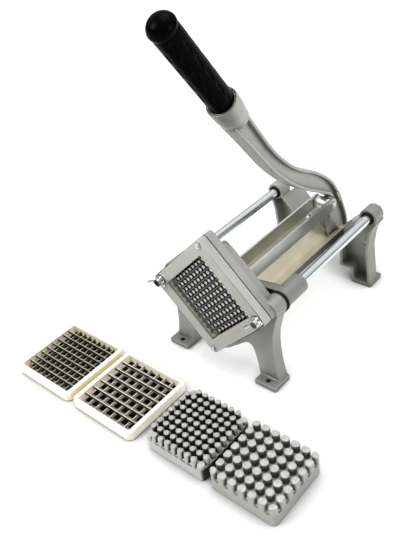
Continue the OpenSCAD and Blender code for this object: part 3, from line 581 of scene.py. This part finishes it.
def build_flange_bridge():
    """Joins the two lengths of the lever's rear flange, which the solids leave apart."""
    outer = [(0.2592, 0.1196), (0.2613, 0.1163), (0.2651, 0.1097), (0.2684, 0.1030)]
    inner = [(0.2641, 0.1005), (0.2609, 0.1072), (0.2571, 0.1138), (0.2550, 0.1171)]
    around = outer + inner
    n = len(around)
    verts = [(x, y, z) for x in (-FLANGE_HALF, FLANGE_HALF) for y, z in around]
    faces = [(i, (i + 1) % n, n + (i + 1) % n, n + i) for i in range(n)]
    for i in range(3):
        k = n - 1 - i
        faces.append((i + 1, i, k, k - 1))
        faces.append((n + i, n + i + 1, n + k - 1, n + k))
    o = add_mesh("flange_bridge", verts, faces, CAST_LEVER, False)
    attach(o, "lever")


build_flange_bridge()


def turned(name, centre, along_axis, profile, mat, around=64):
    """A turned piece: (distance along, radius) pairs along X or Y through a centre."""
    verts = []
    for along, r in profile:
        for a in ring_angles(around):
            offset = (along, r * math.cos(a), r * math.sin(a))
            if along_axis == "y":
                offset = (r * math.cos(a), along, r * math.sin(a))
            verts.append(tuple(c + d for c, d in zip(centre, offset)))
    faces = ring_faces(len(profile), around)
    if along_axis == "x":
        faces = [quad[::-1] for quad in faces]
    return add_mesh(name, verts, faces, mat)


def build_tube():
    """The link bolt's spacer as one bright tube."""
    r, bore, half, edge = 0.0084, 0.004, 0.0109, 0.0006
    rise = [(-half, bore), (-half, r - edge), (-half + edge, r)]
    profile = rise + [(-along, radius) for along, radius in reversed(rise)]
    o = turned("spacer_tube_turned", LINK_BOLT, "x", profile, TUBE)
    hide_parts("spacer_tube")
    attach(o, "lever")


def build_gap_shadow_rings():
    """Rings of painted shadow on the rods between the front bosses and the sleeves, where the gap stands
    in shade.
    """
    front, back, edge = 0.0246, 0.0288, 0.0005
    for side, x, r in (("left", -ROD_X, 0.0122), ("right", ROD_X, 0.0136)):
        profile = [(front, ROD_R), (front, r - edge), (front + edge, r), (back - edge, r),
                   (back, r - edge), (back, ROD_R)]
        o = turned("gap_shadow_ring_" + side, (x, 0.0, GRID_Z), "y", profile, SEAM)
        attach(o, "machine")


def build_trough_lips():
    """Turned-down lips along the trough's upper edges, their steel painted near black as shade, with a
    painted highlight on faces turned up.
    """
    top, drop, outer, sheet = 0.0848, 0.0095, 0.0369, 0.0010
    front, back = 0.0440, 0.2495
    for side, way in (("left", -1), ("right", 1)):
        corners = [(way * x, y, z) for x in (outer - sheet, outer) for y in (front, back)
                   for z in (top - drop, top)]
        faces = [(0, 1, 3, 2), (4, 6, 7, 5), (0, 4, 5, 1), (2, 3, 7, 6), (1, 5, 7, 3), (0, 2, 6, 4)]
        o = add_mesh("trough_lip_" + side, corners, faces, LIP, False)
        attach(o, "machine")


def build_rod_seats():
    """Seats where the rods enter the rear lugs, as rings of painted shadow."""
    face, step = 0.2260, 0.0005
    profile = [(face, ROD_R), (face - step, 0.0068), (face - step, 0.0088), (face, 0.0094)]
    for side, x in (("left", -ROD_X), ("right", ROD_X)):
        o = turned("rod_seat_" + side, (x, 0.0, GRID_Z), "y", profile, SEAM)
        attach(o, "machine")


def build_socket_rim():
    """The flared mouth of the lever's socket, thicker than the solid shows it."""
    profile = [(-0.004, 0.0156), (0.002, 0.0170), (0.008, 0.0179), (0.0248, 0.0184), (0.0259, 0.0182),
               (0.0263, 0.0175), (0.0261, 0.0162), (0.0254, 0.0155), (0.0200, 0.0152)]
    verts = [tuple(grip_point(s, r, a)) for s, r in profile for a in ring_angles(GRIP_AROUND)]
    faces = ring_faces(len(profile), GRIP_AROUND)
    o = add_mesh("socket_rim", verts, faces, CAST_LEVER)
    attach(o, "lever")


build_tube()
build_gap_shadow_rings()
build_rod_seats()
build_trough_lips()
build_socket_rim()


# Floor and light

class Shade:
    """Small helper for the floor's and the world's node graphs."""

    def __init__(self, tree):
        self.t = tree

    def node(self, kind, **values):
        n = self.t.nodes.new(kind)
        for k, v in values.items():
            n.inputs[k].default_value = v
        return n

    def link(self, a, b):
        self.t.links.new(a, b)

    def feed(self, socket, value):
        """Links a socket, or sets a number or a colour."""
        if isinstance(value, bpy.types.NodeSocket):
            self.link(value, socket)
        else:
            socket.default_value = value

    def math(self, op, a, b=0.0):
        n = self.t.nodes.new("ShaderNodeMath")
        n.operation = op
        self.feed(n.inputs[0], a)
        self.feed(n.inputs[1], b)
        return n.outputs[0]

    def blend(self, share, a, b):
        n = self.t.nodes.new("ShaderNodeMix")
        n.data_type = "RGBA"
        for k, v in ((0, share), (6, a), (7, b)):
            self.feed(n.inputs[k], v)
        return n.outputs[2]

    def span(self, value, from_lo, from_hi, lo=0.0, hi=1.0):
        n = self.t.nodes.new("ShaderNodeMapRange")
        values = {"Value": value, "From Min": from_lo, "From Max": from_hi, "To Min": lo, "To Max": hi}
        for k, v in values.items():
            self.feed(n.inputs[k], v)
        return n.outputs["Result"]


# Loose grids: centre X, blade pitch, and where a blade's painted shadow on the floor starts and its share
GRID_ROW_Y, GRID_HALF = -0.111, 0.0455
LOOSE_GRIDS = ((-0.167, 0.009525, 0.0080, 0.60), (-0.058, 0.0127, 0.0088, 0.55))
FLOOR_HALF, FLOOR_DROP = 6, -0.0002


def painted_grid_shadows(g, place, open_share):
    """Shares of the floor that a loose frame covers and that painted shadows of its blades stripe."""
    covered, striped = 0.0, 0.0
    for centre_x, pitch, shade_from, shade_share in LOOSE_GRIDS:
        across = g.math("ABSOLUTE", g.math("SUBTRACT", place.outputs[0], centre_x))
        along = g.math("ABSOLUTE", g.math("SUBTRACT", place.outputs[1], GRID_ROW_Y))
        in_x = g.math("LESS_THAN", across, GRID_HALF)
        inside = g.math("MULTIPLY", in_x, g.math("LESS_THAN", along, GRID_HALF))
        past = g.math("SUBTRACT", place.outputs[1], GRID_ROW_Y + pitch / 2 + shade_from)
        shaded = g.math("LESS_THAN", g.math("FRACT", g.math("DIVIDE", past, pitch)), shade_share)
        covered = g.math("MAXIMUM", covered, inside)
        striped = g.math("MAXIMUM", striped, g.math("MULTIPLY", inside, shaded))
    roofed = g.span(open_share, 0.92, 0.80)
    return g.math("MULTIPLY", covered, roofed), g.math("MULTIPLY", striped, roofed)


def floor_material():
    """White floor to other rays; to the camera a glow with painted contact shadows, and painted blade
    shadows under the loose frames.
    """
    mat = bpy.data.materials.new("floor_white")
    mat.use_nodes = True
    mat.node_tree.nodes.clear()
    g = Shade(mat.node_tree)
    out = g.node("ShaderNodeOutputMaterial")
    dif = g.node("ShaderNodeBsdfDiffuse", Color=(0.86, 0.86, 0.86, 1))
    part = g.node("ShaderNodeBsdfDiffuse")
    ao = g.node("ShaderNodeAmbientOcclusion", Distance=0.045)
    ao.samples = 12
    # Painted contact shadow: the glow, and the diffuse colour through the lit ramp, fall off where the
    # floor is closed in.
    near = g.span(ao.outputs["AO"], 0.3, 0.9)
    lit = g.node("ShaderNodeValToRGB")
    lit.color_ramp.elements[0].color = (0.03, 0.03, 0.028, 1)
    lit.color_ramp.elements[1].color = (0.38, 0.38, 0.38, 1)
    lit.color_ramp.elements[1].position = 0.5
    g.link(near, lit.inputs["Fac"])
    coord = g.node("ShaderNodeTexCoord")
    place = g.node("ShaderNodeSeparateXYZ")
    g.link(coord.outputs["Object"], place.inputs[0])
    covered, striped = painted_grid_shadows(g, place, ao.outputs["AO"])
    reach = g.node("ShaderNodeVectorMath")
    reach.operation = "LENGTH"
    g.link(coord.outputs["Object"], reach.inputs[0])
    far = g.span(reach.outputs["Value"], 0.35, 1.0, 0.76, 0.95)
    glow = g.node("ShaderNodeEmission", Color=(1, 1, 1, 1))
    # Painted shade: the glow is cut under a loose frame and where the floor is closed in.
    free = g.math("MULTIPLY", near, g.math("SUBTRACT", 1.0, covered))
    g.link(g.math("MULTIPLY", free, far), glow.inputs["Strength"])
    # Painted shade: the floor under a loose frame takes a tan colour, striped near black by painted blade
    # shadows.
    under = g.blend(covered, lit.outputs["Color"], (0.36, 0.33, 0.26, 1))
    g.link(g.blend(striped, under, (0.006, 0.005, 0.003, 1)), part.inputs["Color"])
    add = g.node("ShaderNodeAddShader")
    path = g.node("ShaderNodeLightPath")
    seen = g.math("MAXIMUM", path.outputs["Is Camera Ray"], path.outputs["Is Glossy Ray"])
    mixer = g.node("ShaderNodeMixShader")
    g.link(part.outputs[0], add.inputs[0])
    g.link(glow.outputs[0], add.inputs[1])
    g.link(seen, mixer.inputs[0])
    g.link(dif.outputs[0], mixer.inputs[1])
    g.link(add.outputs[0], mixer.inputs[2])
    g.link(mixer.outputs[0], out.inputs[0])
    return mat


def add_floor():
    mesh = bpy.data.meshes.new("floor")
    half = FLOOR_HALF
    corners = [(-half, -half, 0), (half, -half, 0), (half, half, 0), (-half, half, 0)]
    mesh.from_pydata(corners, [], [(0, 1, 2, 3)])
    floor = bpy.data.objects.new("floor", mesh)
    scene.collection.objects.link(floor)
    floor.location.z = FLOOR_DROP
    mesh.materials.append(floor_material())


def add_world():
    """White to the camera; a soft studio with a dark horizon to glossy surfaces."""
    world = bpy.data.worlds.new("studio")
    scene.world = world
    world.use_nodes = True
    g = Shade(world.node_tree)
    fill = next(n for n in g.t.nodes if n.type == "BACKGROUND")
    fill.inputs["Color"].default_value = (0.97, 0.985, 1.0, 1)
    fill.inputs["Strength"].default_value = 0.44
    white = g.node("ShaderNodeBackground", Color=(1, 1, 1, 1), Strength=1.0)
    studio = g.node("ShaderNodeBackground", Strength=1.0)
    coord = g.node("ShaderNodeTexCoord")
    parts = g.node("ShaderNodeSeparateXYZ")
    g.link(coord.outputs["Generated"], parts.inputs[0])
    ramp = g.node("ShaderNodeValToRGB")
    stops = [(0.0, 0.05), (0.1, 0.09), (0.2, 0.45), (0.45, 0.72), (0.75, 1.0)]
    e = ramp.color_ramp.elements
    while len(e) < len(stops):
        e.new(0.5)
    for i, (p, c) in enumerate(stops):
        e[i].position = p
        e[i].color = (c, c, c, 1.0)
    g.link(parts.outputs[2], ramp.inputs["Fac"])
    g.link(ramp.outputs["Color"], studio.inputs["Color"])
    path = g.node("ShaderNodeLightPath")
    soft = g.node("ShaderNodeMixShader")
    g.link(path.outputs["Is Glossy Ray"], soft.inputs[0])
    g.link(fill.outputs[0], soft.inputs[1])
    g.link(studio.outputs[0], soft.inputs[2])
    last = g.node("ShaderNodeMixShader")
    g.link(path.outputs["Is Camera Ray"], last.inputs[0])
    g.link(soft.outputs[0], last.inputs[1])
    g.link(white.outputs[0], last.inputs[2])
    g.link(last.outputs[0], next(n for n in g.t.nodes if n.type == "OUTPUT_WORLD").inputs[0])


def lamp(name, place, target, size, power):
    d = bpy.data.lights.new(name, "AREA")
    d.shape = "SQUARE"
    d.size = size
    d.energy = power
    o = bpy.data.objects.new(name, d)
    o.location = place
    o.rotation_euler = (Vector(target) - Vector(place)).to_track_quat("-Z", "Y").to_euler()
    scene.collection.objects.link(o)


add_floor()
add_world()
lamp("key", (-0.9, -1.3, 1.5), (0, 0.05, 0.1), size=0.9, power=25)
lamp("top", (0.1, 0.3, 1.9), (0, 0.05, 0.1), size=1.2, power=19)
lamp("right", (1.7, 0.2, 0.8), (0, 0.1, 0.2), size=0.8, power=9)

scene.view_settings.view_transform = "Standard"
